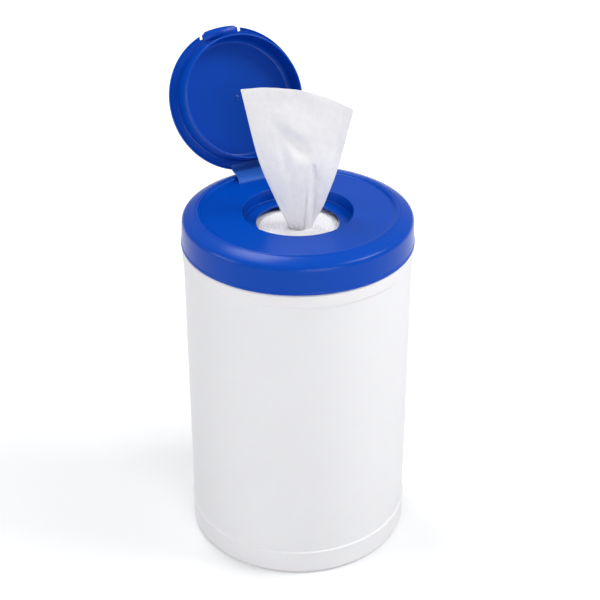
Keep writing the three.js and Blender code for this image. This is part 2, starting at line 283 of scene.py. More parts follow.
@dataclass(frozen=True)
class SpunlaceNonwoven:
    """Viscose and polyester nonwoven, water-jet laid: matt white, short fibres lying every way."""

    name: str = "nonwoven_spunlace_white"
    colour: str = "#FBFAFA"
    thin_colour: str = "#F0EEEE"
    roughness: float = 0.88
    # fibres are 0.015 mm thick; their clumps are drawn 0.5 mm wide so that they show
    fibre_mm: float = 0.5
    fibre_depth_mm: float = 0.09
    cloud_mm: float = 3.2

    def build(self) -> Material:
        """Builds the shader: clouds of thicker and thinner web, and fibres that stand up a little.

        Returns:
            The finished material.
        """
        material, add = new_material(self.name)
        place = add("ShaderNodeTexCoord").outputs["Object"]
        drawn = add(
            "ShaderNodeMapping",
            inputs={"Vector": place, "Rotation": (0.2, 0.1, 0.5), "Scale": (1.0, 1.0, 0.42)},
        )
        cloud = add(
            "ShaderNodeTexNoise",
            inputs={
                "Vector": place,
                "Scale": 1 / (self.cloud_mm * MM),
                "Detail": 4.0,
                "Roughness": 0.65,
            },
        )
        fibre = add(
            "ShaderNodeTexNoise",
            inputs={
                "Vector": drawn.outputs["Vector"],
                "Scale": 1 / (self.fibre_mm * MM),
                "Detail": 5.0,
                "Roughness": 0.7,
                "Distortion": 1.4,
            },
        )
        web = add(
            "ShaderNodeMath",
            {"operation": "MULTIPLY_ADD"},
            {0: cloud.outputs["Fac"], 1: 0.55, 2: fibre.outputs["Fac"]},
        )
        density = add(
            "ShaderNodeMapRange",
            inputs={"Value": web.outputs["Value"], "From Min": 0.5, "From Max": 1.0},
        )
        tint = add(
            "ShaderNodeMix",
            {"data_type": "RGBA"},
            {0: density.outputs["Result"], 6: linear(self.thin_colour), 7: linear(self.colour)},
        )
        nap = add(
            "ShaderNodeBump",
            inputs={
                "Height": web.outputs["Value"],
                "Strength": 0.55,
                "Distance": self.fibre_depth_mm * MM,
            },
        )
        shader = add(
            "ShaderNodeBsdfPrincipled",
            inputs={
                "Base Color": tint.outputs[2],
                "Roughness": self.roughness,
                "Normal": nap.outputs["Normal"],
                "Specular IOR Level": 0.2,
                "Sheen Weight": 0.15,
                "Sheen Roughness": 0.6,
            },
        )
        add("ShaderNodeOutputMaterial", inputs={"Surface": shader.outputs["BSDF"]})
        return material


@dataclass(frozen=True)
class StudioFloor:
    """Seamless white paper under studio light: near white to the camera, and it takes a shadow."""

    name: str = "paper_seamless_white"
    colour: str = "#C6C8CB"
    seen_colour: str = "#F6F7F8"
    # the paper pales away from the pot, so that it runs into the white room without an edge
    near: float = 0.1
    far: float = 1.1
    near_lift: float = 0.08
    far_lift: float = 0.6

    def build(self) -> Material:
        """Builds the paper: diffuse, and lifted only where the camera or a reflection sees it.

        Returns:
            The finished material.
        """
        material, add = new_material(self.name)
        path = add("ShaderNodeLightPath")
        seen = path.outputs["Is Camera Ray"]
        for ray in ("Is Glossy Ray", "Is Transmission Ray"):
            either = {0: seen, 1: path.outputs[ray]}
            seen = add("ShaderNodeMath", {"operation": "MAXIMUM"}, either).outputs["Value"]
        paper = add(
            "ShaderNodeMix",
            {"data_type": "RGBA"},
            {0: seen, 6: linear(self.colour), 7: linear(self.seen_colour)},
        )
        away = add(
            "ShaderNodeVectorMath",
            {"operation": "LENGTH"},
            {0: add("ShaderNodeTexCoord").outputs["Object"]},
        )
        far = add(
            "ShaderNodeMapRange",
            inputs={
                "Value": away.outputs["Value"],
                "From Min": self.near,
                "From Max": self.far,
                "To Min": self.near_lift,
                "To Max": self.far_lift,
            },
        )
        lift = add(
            "ShaderNodeMath",
            {"operation": "MULTIPLY"},
            {0: seen, 1: far.outputs["Result"]},
        )
        shader = add(
            "ShaderNodeBsdfPrincipled",
            inputs={
                "Base Color": paper.outputs[2],
                "Roughness": 1.0,
                "Specular IOR Level": 0.0,
                "Emission Color": (1.0, 1.0, 1.0, 1.0),
                "Emission Strength": lift.outputs["Value"],
            },
        )
        add("ShaderNodeOutputMaterial", inputs={"Surface": shader.outputs["BSDF"]})
        return material


# Modelling helpers


def deselect() -> None:
    """Leaves object mode with nothing selected."""
    if bpy.context.object and bpy.context.object.mode != "OBJECT":
        bpy.ops.object.mode_set(mode="OBJECT")
    bpy.ops.object.select_all(action="DESELECT")


def activate(piece: Piece) -> None:
    """Selects one piece alone and makes it active.

    Args:
        piece: The piece.
    """
    deselect()
    piece.select_set(True)
    bpy.context.view_layer.objects.active = piece


def face_out(piece: Piece, weld: float = 0.0) -> None:
    """Turns all faces of a closed piece outwards, after its seam is welded if it has one.

    Args:
        piece: The piece.
        weld: The distance within which points are joined, in metres; 0 joins none.
    """
    activate(piece)
    bpy.ops.object.mode_set(mode="EDIT")
    bpy.ops.mesh.select_all(action="SELECT")
    if weld:
        bpy.ops.mesh.remove_doubles(threshold=weld)
    bpy.ops.mesh.normals_make_consistent(inside=False)
    bpy.ops.object.mode_set(mode="OBJECT")


def arc(r: float, z: float, radius: float, start: float, end: float, steps: int = 6) -> list[Point]:
    """Lists points of an arc in a profile.

    Args:
        r: The centre's distance from the axis.
        z: The centre's height.
        radius: The arc's radius.
        start: The first angle, in degrees from outwards.
        end: The last angle.
        steps: How many chords it has.

    Returns:
        The points, first to last.
    """
    angles = [math.radians(start + (end - start) * i / steps) for i in range(steps + 1)]
    return [(r + radius * math.cos(a), z + radius * math.sin(a)) for a in angles]


def lathe(name: str, profile: list[Point], steps: int = 160) -> Piece:
    """Draws a profile point by point and spins it round the pot's axis.

    Args:
        name: The piece's name.
        profile: Radius and height of each point, from axis to axis or closed on itself.
        steps: Facets round the axis.

    Returns:
        The closed, smooth piece.
    """
    deselect()
    bpy.ops.mesh.primitive_plane_add(size=MM)
    piece = bpy.context.object
    piece.name = name
    bpy.ops.object.mode_set(mode="EDIT")
    bpy.ops.mesh.select_all(action="SELECT")
    bpy.ops.mesh.merge(type="CENTER")
    last = (0.0, 0.0)
    for number, point in enumerate(profile):
        step = ((point[0] - last[0]) * MM, 0.0, (point[1] - last[1]) * MM)
        if number == 0:
            bpy.ops.transform.translate(value=step)
        else:
            bpy.ops.mesh.extrude_region_move(TRANSFORM_OT_translate={"value": step})
        last = point
    bpy.ops.mesh.select_all(action="SELECT")
    bpy.ops.mesh.spin(steps=steps, angle=math.tau, center=(0, 0, 0), axis=(0, 0, 1))
    bpy.ops.mesh.select_all(action="SELECT")
    bpy.ops.mesh.remove_doubles(threshold=0.002 * MM)
    bpy.ops.mesh.normals_make_consistent(inside=False)
    bpy.ops.object.mode_set(mode="OBJECT")
    return piece


def smooth(piece: Piece, angle: float = 40.0) -> None:
    """Shades a piece smooth, with its sharp edges kept as creases.

    Args:
        piece: The piece.
        angle: The least angle of a crease, in degrees.
    """
    activate(piece)
    bpy.ops.object.shade_smooth_by_angle(angle=math.radians(angle))
    apply_modifier(piece, "WEIGHTED_NORMAL", weight=100, keep_sharp=True)


def apply_modifier(piece: Piece, kind: str, **settings: object) -> None:
    """Adds a modifier with its settings and applies it at once.

    Args:
        piece: The piece it changes.
        kind: The modifier's type name.
        settings: Attributes of the modifier.
    """
    activate(piece)
    modifier = piece.modifiers.new(kind.title(), kind)
    for name, value in settings.items():
        setattr(modifier, name, value)
    bpy.ops.object.modifier_apply(modifier=modifier.name)


def combine(piece: Piece, other: Piece, operation: str) -> None:
    """Joins another solid to a piece, or cuts it away, and drops that solid.

    Args:
        piece: The piece that stays.
        other: The solid that is joined or cut away.
        operation: UNION or DIFFERENCE.
    """
    apply_modifier(piece, "BOOLEAN", object=other, operation=operation, solver="EXACT")
    bpy.data.objects.remove(other, do_unlink=True)


def grid(name: str, columns: int, rows: int) -> Piece:
    """Adds a flat grid of unit size whose points are then moved to their places.

    Args:
        name: The piece's name.
        columns: Cells across, along x.
        rows: Cells along, along y.

    Returns:
        The grid, round the origin.
    """
    deselect()
    bpy.ops.mesh.primitive_grid_add(x_subdivisions=columns, y_subdivisions=rows, size=1)
    piece = bpy.context.object
    piece.name = name
    return piece


def dress(piece: Piece, material: Material) -> None:
    """Gives a piece its one material.

    Args:
        piece: The piece.
        material: Its finish.
    """
    piece.data.materials.clear()
    piece.data.materials.append(material)


def settle(piece: Piece, body: Body, slot: Slot, *nodes: str) -> None:
    """Puts a finished piece on its body and in place of its CAD nodes.

    Args:
        piece: The finished piece.
        body: The body it rides on.
        slot: The record's slot its finish belongs to; not used.
        nodes: The CAD nodes it stands for.
    """
    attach(piece, body.value)
    if nodes:
        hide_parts(*nodes)
    LOG.info("%s: %d faces, rides on %s", piece.name, len(piece.data.polygons), body.value)


def follow(points: list[Point], t: float) -> Point:
    """Reads a smooth curve through points.

    Args:
        points: The points it passes through.
        t: How far along, from 0 to 1.

    Returns:
        The place on the curve.
    """
    spans = len(points) - 1
    at = min(max(t, 0.0), 1.0) * spans
    i = min(int(at), spans - 1)
    f = at - i
    before, a, b, after = (points[min(max(i + k, 0), spans)] for k in (-1, 0, 1, 2))

    def blend(axis: int) -> float:
        """Reads one coordinate of the curve.

        Args:
            axis: 0 or 1.

        Returns:
            The coordinate.
        """
        p0, p1, p2, p3 = before[axis], a[axis], b[axis], after[axis]
        square = 2 * p0 - 5 * p1 + 4 * p2 - p3
        cube = 3 * p1 - p0 - 3 * p2 + p3
        return 0.5 * (2 * p1 + (p2 - p0) * f + square * f**2 + cube * f**3)

    return blend(0), blend(1)


def ease(value: float, low: float, high: float) -> float:
    """Runs smoothly from 0 at low to 1 at high.

    Args:
        value: Where it is read.
        low: The last value that gives 0.
        high: The first value that gives 1.

    Returns:
        A number from 0 to 1.
    """
    t = min(max((value - low) / (high - low), 0.0), 1.0)
    return t * t * (3 - 2 * t)


# Pieces


@dataclass
class Pot:
    """The pot, in one wall: foot, heel, label panel, shoulder and neck."""

    foot_radius: float = 54.9
    heel_radius: float = 57.4
    heel_top: float = 14.0
    bead_radius: float = 57.65
    panel_radius: float = 57.0
    panel_top: float = 159.4
    shoulder_radius: float = 57.7
    shoulder_top: float = 166.5
    shoulder_round: float = 1.3
    neck_radius: float = 55.6
    neck_top: float = 180.0
    bead_z: float = 172.5
    bead: float = 0.4
    wall: float = 1.2
    floor: float = 1.5
    groove: float = 0.2

    def outer_profile(self) -> list[Point]:
        """Lists the outside, from the middle of the base up to the neck's lip.

        Returns:
            The points of the section.
        """
        heel = self.heel_radius - self.foot_radius
        tall = self.bead_radius - self.heel_radius
        curve = self.shoulder_round
        return [
            (0, 0),
            (self.foot_radius - 14, 0),
            *arc(self.foot_radius, heel, heel, -90, 0, 8),
            (self.heel_radius, self.heel_top - 1.3),
            *arc(self.heel_radius - 0.2, self.heel_top - 0.6, tall + 0.2, -70, 80, 6),
            (self.panel_radius - self.groove, self.heel_top + 0.3),
            (self.panel_radius - self.groove, self.heel_top + 0.55),
            (self.panel_radius, self.heel_top + 1.1),
            (self.panel_radius, self.panel_top - 0.9),
            (self.panel_radius - self.groove, self.panel_top - 0.2),
            (self.panel_radius - self.groove, self.panel_top + 0.1),
            *arc(self.shoulder_radius - 0.5, self.panel_top + 0.9, 0.5, -60, 0, 3),
            *arc(self.shoulder_radius - curve, self.shoulder_top - curve, curve, 0, 90, 7),
            (self.neck_radius + 0.3, self.shoulder_top),
            (self.neck_radius, self.shoulder_top + 0.3),
            (self.neck_radius, self.bead_z - 0.9),
            *arc(self.neck_radius - 0.1, self.bead_z, self.bead + 0.1, -70, 70, 5),
            (self.neck_radius, self.bead_z + 0.9),
            *arc(self.neck_radius - 0.5, self.neck_top - 0.5, 0.5, 0, 90, 3),
        ]

    def inner_profile(self) -> list[Point]:
        """Lists the inside, from the neck's lip down to the middle of the floor.

        Returns:
            The points of the section.
        """
        inner = self.neck_radius - self.wall
        cavity = self.panel_radius - self.wall
        return [
            (inner + 0.2, self.neck_top),
            (inner, self.neck_top - 0.3),
            (inner, self.shoulder_top - 1.2),
            (cavity, self.panel_top - 1.2),
            *arc(cavity - 3, self.floor + 3, 3, 0, -90, 6),
            (0, self.floor),
        ]

    def build(self, finish: Material) -> None:
        """Spins the pot, dresses it and sets it on its body.

        Args:
            finish: Its material.
        """
        piece = lathe("pot", self.outer_profile() + self.inner_profile(), 192)
        smooth(piece)
        dress(piece, finish)
        settle(piece, Body.CANISTER, Slot.POT, "canister_body")


@dataclass
class Lid:
    """The lid, in one moulding: skirt, rim, deck, well with its ledge, opening and seal ring."""

    skirt_bottom: float = 166.9
    skirt_radius: float = 58.0
    skirt_top_radius: float = 57.25
    skirt_top: float = 179.7
    skirt_lip: float = 1.4
    wall: float = 1.3
    rim_round: float = 3.2
    rim_radius: float = 50.1
    rim_z: float = 183.7
    deck_z: float = 182.5
    deck_radius: float = 46.7
    well_radius: float = 27.4
    ledge_z: float = 176.5
    opening_radius: float = 20.7
    seal_radius: float = 54.0
    seal_wall: float = 1.1
    seal_bottom: float = 175.2
    ceiling: float = 180.3
    ridge_radius: float = 56.3
    deck_inner: float = 38.0

    # slope, groove and the bead that falls to the deck: out from its radius, down from its top
    rim_line: ClassVar[list[Point]] = [
        (3.2, 1.22), (0.6, 0.33), (0.3, 0.5), (0.0, 0.4),
        (-0.35, 0.1), (-0.8, 0.0), (-1.3, 0.06), (-1.8, 0.28),
        (-2.2, 0.62), (-2.55, 0.95), (-2.95, 1.14),
    ]

    def outside(self) -> list[Point]:
        """Lists the side and top that show, from the skirt's lower edge in to the opening.

        Returns:
            The points of the section.
        """
        low = self.skirt_bottom
        curve = self.rim_round
        return [
            *arc(self.skirt_radius - 0.3, low + 0.3, 0.3, -90, 0, 4),
            (self.skirt_radius, low + self.skirt_lip - 0.3),
            (self.skirt_radius - 0.1, low + self.skirt_lip),
            (self.skirt_radius - 0.26, low + self.skirt_lip + 0.15),
            (self.skirt_radius - 0.3, low + self.skirt_lip + 0.6),
            *arc(self.skirt_top_radius - curve, self.skirt_top - 1.3, curve, 0, 62, 12),
            *((self.rim_radius + out, self.rim_z - down) for out, down in self.rim_line),
            (self.deck_radius, self.deck_z),
            (self.deck_inner, self.deck_z),
            *arc(self.well_radius + 0.55, self.deck_z - 0.55, 0.55, 90, 180, 5),
            (self.well_radius - 0.05, self.ledge_z + 0.7),
            *arc(self.well_radius - 0.65, self.ledge_z + 0.6, 0.6, 0, -90, 4),
            *arc(self.opening_radius + 0.45, self.ledge_z - 0.45, 0.45, 90, 180, 4),
        ]

    def inside(self) -> list[Point]:
        """Lists the underside, from the opening out to the skirt's lower edge.

        Returns:
            The points of the section.
        """
        under = self.deck_z - self.wall
        under_ledge = self.ledge_z - self.wall
        inner = self.skirt_radius - self.wall
        well = self.well_radius + self.wall
        ring = self.seal_radius - self.seal_wall
        return [
            (self.opening_radius, under_ledge + 0.2),
            (self.opening_radius + 0.2, under_ledge),
            (well - 0.3, under_ledge),
            (well, under_ledge + 0.3),
            (well, under),
            (self.deck_radius, under),
            (self.rim_radius, self.rim_z - self.wall),
            (ring, self.ceiling + 0.5),
            (ring, self.seal_bottom + 0.2),
            (ring + 0.2, self.seal_bottom),
            (self.seal_radius - 0.4, self.seal_bottom),
            (self.seal_radius, self.seal_bottom + 0.5),
            (self.seal_radius, self.ceiling),
            (inner - 0.5, self.ceiling),
            (inner - 0.3, self.ceiling - 1),
            (inner - 0.3, self.skirt_bottom + 3.6),
            (self.ridge_radius, self.skirt_bottom + 2.6),
            (inner, self.skirt_bottom + 1.6),
            (inner, self.skirt_bottom + 0.2),
            (inner + 0.2, self.skirt_bottom),
        ]

    def build(self, finish: Material) -> None:
        """Spins the lid, dresses it and sets it on its body.

        Args:
            finish: Its material.
        """
        profile = self.outside() + self.inside()
        piece = lathe("lid_moulding", [*profile, profile[0]], 192)
        smooth(piece)
        dress(piece, finish)
        settle(piece, Body.LID, Slot.LID, "lid")


@dataclass
class FlipCap:
    """The flip cap: disc, brim, ring, thumb tab between two slots, gate mark and hinge strap."""

    open_angle: float = 116.0
    hinge_y: float = 41.8
    hinge_z: float = 183.4
    brim_radius: float = 37.0
    brim_z: float = 195.0
    thickness: float = 1.2
    lip: float = 0.6
    ring_radius: float = 31.9
    ring_wall: float = 1.0
    ring_end: float = 182.8
    fillet: float = 2.6
    gate_radius: float = 1.5
    # the open cap hangs a little askew on its soft hinge, which shows most at its tab
    tab_turn: float = -3.4
    tab_half: float = 9.8
    tab_reach: float = 37.5
    tab_corner: float = 2.0
    tab_bulge: float = 1.3
    tab_bow: float = 0.9
    tab_sink: float = 0.35
    tab_thickness: float = 1.25
    tab_bevel: float = 0.28
    slot_width: float = 1.9
    slot_inner: float = 33.4
    strap_half_deck: float = 13.2
    strap_half_brim: float = 10.8
    strap_thickness: float = 0.9
    strap_edge_drop: float = 0.18
    strap_bevel: float = 0.2
    bend_start: Point = (41.2, 183.0)
    bend_end: Point = (54.0, 184.4)
    disc_inner: float = 18.0

    # the strap's line with the cap open: back from the axis, and height
    strap_line: ClassVar[list[Point]] = [
        (40.4, 182.3), (40.9, 183.3), (42.3, 184.2), (45.5, 184.9),
        (49.5, 185.2), (52.6, 184.8), (54.3, 184.7), (55.2, 185.2),
        (56.0, 186.5),
    ]

    def opened(self) -> Matrix:
        """Gives the turn from the shut cap to the open one.

        Returns:
            The turn about the hinge's axis, in metres.
        """
        pivot = Vector((0, self.hinge_y * MM, self.hinge_z * MM))
        turn = Matrix.Rotation(-math.radians(self.open_angle), 4, "X")
        return Matrix.Translation(pivot) @ turn @ Matrix.Translation(-pivot)

    def profile(self) -> list[Point]:
        """Lists the shut cap's section, from the middle of its inside over the brim to its top.

        Returns:
            The points of the section.
        """
        inner = self.ring_radius - self.ring_wall
        half = self.ring_wall / 2
        root = self.ring_radius + 0.3
        top = self.brim_z + self.thickness
        return [
            (0, self.brim_z - 0.12),
            (self.gate_radius * 0.45, self.brim_z - 0.3),
            (self.gate_radius * 0.75, self.brim_z - 0.32),
            (self.gate_radius, self.brim_z - 0.12),
            (self.gate_radius + 0.25, self.brim_z),
            (self.gate_radius + 0.6, self.brim_z),
            (self.disc_inner, self.brim_z),
            *arc(inner - self.fillet, self.brim_z - self.fillet, self.fillet, 90, 0, 8),
            (inner, self.ring_end + 0.5),
            *arc(self.ring_radius - half, self.ring_end + 0.5, half, 180, 360, 6),
            (root, self.brim_z - 0.6),
            (root + 0.15, self.brim_z - 0.2),
            (root + 0.6, self.brim_z),
            (self.brim_radius - 1.3, self.brim_z),
            (self.brim_radius - 0.9, self.brim_z - 0.15),
            *arc(self.brim_radius - 0.35, self.brim_z - self.lip + 0.35, 0.35, 200, 360, 6),
            *arc(self.brim_radius - 0.6, top - 0.6, 0.6, 0, 90, 5),
            (self.disc_inner, top),
            (0, top),
        ]

    def slot_cutter(self, side: int) -> Piece:
        """Makes the block that cuts one slot beside the thumb tab.

        Args:
            side: -1 for the slot on the -X side, 1 for the other.

        Returns:
            The cutting block.
        """
        deselect()
        length = self.brim_radius + 2 - self.slot_inner
        centre = (
            side * (self.tab_half + self.slot_width / 2) * MM,
            -(self.slot_inner + length / 2) * MM,
            self.brim_z * MM,
        )
        block_size = (self.slot_width * MM, length * MM, 8 * MM)
        bpy.ops.mesh.primitive_cube_add(size=1, location=centre, scale=block_size)
        block = bpy.context.object
        bpy.ops.object.transform_apply(location=True, rotation=True, scale=True)
        self.turn_to_tab(block)
        return block

    def turn_to_tab(self, piece: Piece) -> None:
        """Turns a piece drawn at the front of the shut cap to where the tab is.

        Args:
            piece: The piece.
        """
        piece.data.transform(Matrix.Rotation(math.radians(self.tab_turn), 4, "Z"))

    def thumb_tab(self) -> Piece:
        """Makes the thumb tab, a rounded plate that bulges a little where the thumb lifts it.

        Returns:
            The tab as it lies on the shut cap.
        """
        columns, rows = 24, 10
        tab = grid("tab", columns, rows)
        inner = self.slot_inner - 1.0
        straight = self.tab_half - self.tab_corner
        for vertex in tab.data.vertices:
            across = vertex.co.x * 2
            out = vertex.co.y + 0.5
            reach = self.tab_reach - self.tab_bow * across**2
            corner = max(0.0, abs(across) * self.tab_half - straight) / self.tab_corner
            reach -= self.tab_corner * (1 - math.sqrt(max(0.0, 1 - corner**2)))
            rise = math.sin(math.pi * min(1.0, 0.15 + 0.8 * out))
            bulge = self.tab_bulge * max(0.0, 1 - across**2) * rise
            y = -(inner + (reach - inner) * out)
            z = self.brim_z - self.tab_sink - bulge
            vertex.co = Vector((across * self.tab_half * MM, y * MM, z * MM))
        self.thicken(tab, self.tab_thickness, self.tab_bevel)
        self.turn_to_tab(tab)
        return tab

    @staticmethod
    def thicken(piece: Piece, thickness: float, bevel: float) -> None:
        """Makes a plate of a bent grid and rounds its edges.

        Args:
            piece: The grid.
            thickness: The plate's thickness, in millimetres.
            bevel: The width of its rounded edges, in millimetres.
        """
        apply_modifier(piece, "SOLIDIFY", thickness=thickness * MM, offset=-1.0)
        face_out(piece)
        crease = math.radians(50)
        apply_modifier(piece, "BEVEL", width=bevel * MM, segments=3, angle_limit=crease)

    def strap(self) -> Piece:
        """Makes the thin hinge strap as it lies with the cap open, from the deck to the brim.

        Returns:
            The strap, at rest.
        """
        columns, rows = 22, 30
        narrowing = self.strap_half_brim - self.strap_half_deck
        strap = grid("hinge_strap", columns, rows)
        for vertex in strap.data.vertices:
            across = vertex.co.x * 2
            t = vertex.co.y + 0.5
            y, z = follow(self.strap_line, t)
            half = self.strap_half_deck + narrowing * ease(t, 0.0, 0.9)
            edge = self.strap_edge_drop * abs(across) ** 10
            vertex.co = Vector((across * half * MM, y * MM, (z - edge) * MM))
        self.thicken(strap, self.strap_thickness, self.strap_bevel)
        return strap

    def build(self, finish: Material, strap_finish: Material) -> None:
        """Makes the cap shut, turns it open and sets it on its body, then makes its strap.

        Args:
            finish: The cap's material.
            strap_finish: The strap's material, paler than the cap's: partly whitening from bending,
                partly a painted highlight.
        """
        cap = lathe("flip_cap_moulding", self.profile(), 176)
        for side in (-1, 1):
            combine(cap, self.slot_cutter(side), "DIFFERENCE")
        combine(cap, self.thumb_tab(), "UNION")
        cap.data.transform(self.opened())
        smooth(cap)
        dress(cap, finish)
        settle(cap, Body.CAP, Slot.LID, "flip_cap")
        strap = self.strap()
        smooth(strap)
        dress(strap, strap_finish)
        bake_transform(strap)
        LOG.info("hinge_strap: bends between lid and cap")


@dataclass
class Roll:
    """The wound wipes, standing on end without a core; the upper face shows the turns' edges."""

    radius: float = 53.2
    hollow: float = 9.0
    bottom: float = 1.8
    height: float = 165.2
    turn: float = 1.25
    depth: float = 0.3
    # each wipe drawn off leaves the inner turns standing up in a soft dome under the opening
    dome_rise: float = 6.7
    dome_foot: float = 44.0
    dome_top: float = 15.0
    lip_radius: float = 4.6
    # ruffles of the edges: so many to the metre, and so many millimetres deep
    waves: float = 90.0
    wave_depth: float = 0.5
    crumples: float = 380.0
    crumple_depth: float = 0.22

    def surface(self, r: float) -> float:
        """Gives the height of the roll's upper face.

        Args:
            r: Distance from the axis.

        Returns:
            The height.
        """
        dome = self.dome_rise * (1 - ease(r, self.dome_top, self.dome_foot))
        return self.bottom + self.height + dome

    def profile(self) -> list[Point]:
        """Lists the section: flat foot, outer wall, then the turns' rounded edges in to the hollow.

        Returns:
            The points of the section, closed.
        """
        top = self.bottom + self.height
        points: list[Point] = [
            (self.hollow, self.bottom),
            (self.radius - 0.5, self.bottom),
            (self.radius, self.bottom + 0.5),
            (self.radius, top - 2),
            (self.radius, top - self.depth),
        ]
        turns = int((self.radius - self.lip_radius) / self.turn)
        pitch = (self.radius - self.lip_radius) / turns
        for number in range(turns):
            outer = self.radius - number * pitch
            for share, sink in ((0.3, 0.0), (0.65, 0.0), (1.0, self.depth)):
                r = outer - share * pitch
                points.append((r, self.surface(r) - sink))
        points += [(self.lip_radius, top + 2), (self.hollow, top - 4), (self.hollow, top - 30)]
        return [*points, points[0]]

    def build(self, finish: Material) -> None:
        """Spins the roll, ruffles the turns' edges, dresses it and sets it on its body.

        Args:
            finish: Its material.
        """
        piece = lathe("wound_wipes", self.profile(), 144)
        low = (self.bottom + self.height - 1.0) * MM
        for vertex in piece.data.vertices:
            if vertex.co.z > low:
                ruffle = noise.noise(vertex.co * self.waves) * self.wave_depth
                ruffle += noise.noise(vertex.co * self.crumples) * self.crumple_depth
                vertex.co.z += min(ruffle, 0.0) * MM
        smooth(piece, 60)
        dress(piece, finish)
        settle(piece, Body.CANISTER, Slot.WIPES, "wipes_roll")


@dataclass(frozen=True)
class Fold:
    """One soft fold of the drawn wipe, a trough along a line in the plane that the wipe faces."""

    start: Point
    end: Point
    depth: float
    width: float
    fade_in: float = 0.3
    fade_out: float = 0.3

    def depth_at(self, x: float, z: float) -> float:
        """Gives how far the cloth lies back at a place, in millimetres.

        Args:
            x: Place across the wipe.
            z: Height.

        Returns:
            The depth, 0 away from the fold.
        """
        run = (self.end[0] - self.start[0], self.end[1] - self.start[1])
        length = math.hypot(*run)
        dx, dz = x - self.start[0], z - self.start[1]
        along = (dx * run[0] + dz * run[1]) / length**2
        off = abs(dx * run[1] - dz * run[0]) / length
        beyond = max(0.0, -along, along - 1) * length
        reach = ease(along, -0.05, self.fade_in) * (1 - ease(along, 1 - self.fade_out, 1.05))
        fall = (off / self.width) ** 2 + (beyond / self.width) ** 2
        return self.depth * reach * math.exp(-fall)


